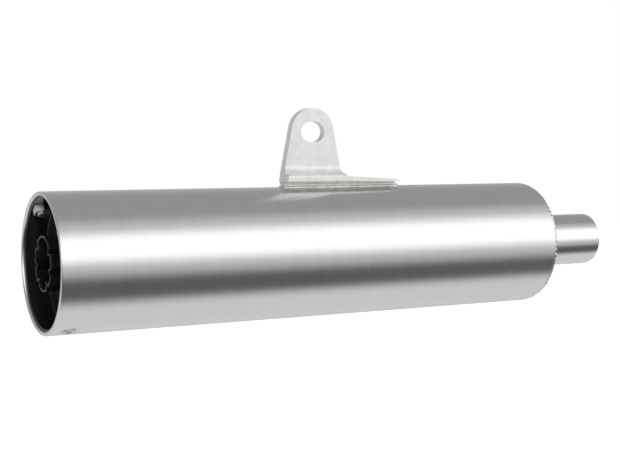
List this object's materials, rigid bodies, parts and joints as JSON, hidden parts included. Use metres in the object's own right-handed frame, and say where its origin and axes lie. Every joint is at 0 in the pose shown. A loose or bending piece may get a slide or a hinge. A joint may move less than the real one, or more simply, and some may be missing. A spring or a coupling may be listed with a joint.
{
  "type": "motorcycle exhaust muffler",
  "caption": "Round packed motorcycle muffler with a slip-on inlet, a slotted hanger bracket and a removable sound insert.",
  "frame": {"origin": "centre of the inlet tube's open end", "axes": "+X along the body's axis and out of the inlet, +Z towards the mounting bracket, -X out of the mouth"},
  "size_m": [0.4626, 0.095, 0.1522],
  "materials": {
    "sleeve_steel": "brushed round the body, satin",
    "tube_steel": "fine brushed",
    "plate_steel": "pressed sheet, satin",
    "core_steel": "plain mill finish",
    "weld_metal": "rippled weld bead",
    "bracket_steel": "blasted, matte",
    "screw_steel": "bright zinc",
    "black_enamel": "gloss black stove enamel",
    "steel_wool": "matted fibres",
    "glass_fibre": "needled blanket",
    "graphite": "pressed graphite sheet"
  },
  "bodies": {
    "muffler": {"outer_sleeve": "sleeve_steel", "front_end_plate": "plate_steel", "front_rim_weld": "weld_metal", "inlet_tube": "tube_steel", "inlet_weld": "weld_metal", "perforated_core": "core_steel", "core_socket": "core_steel", "core_socket_weld": "weld_metal", "steel_wool_wrap": "steel_wool", "glass_fibre_packing": "glass_fibre", "end_cap": "black_enamel", "cap_screws": "screw_steel", "cap_nut": "screw_steel", "cap_bush": "screw_steel", "insert_gasket": "graphite", "insert_nuts": "screw_steel", "mounting_bracket": "bracket_steel", "bracket_pad": "bracket_steel", "bracket_weld": "weld_metal", "pad_weld": "weld_metal"},
    "sound_insert": {"outlet_nozzle": "black_enamel", "insert_flange": "black_enamel", "insert_tube": "core_steel", "insert_end_disc": "core_steel", "insert_weld": "black_enamel", "insert_screws": "screw_steel"}
  },
  "joints": [
    {"name": "insert_slide", "type": "slide", "parent": "muffler", "child": "sound_insert", "axis": [-1, 0, 0], "range_m": [0, 0.12]}
  ]
}
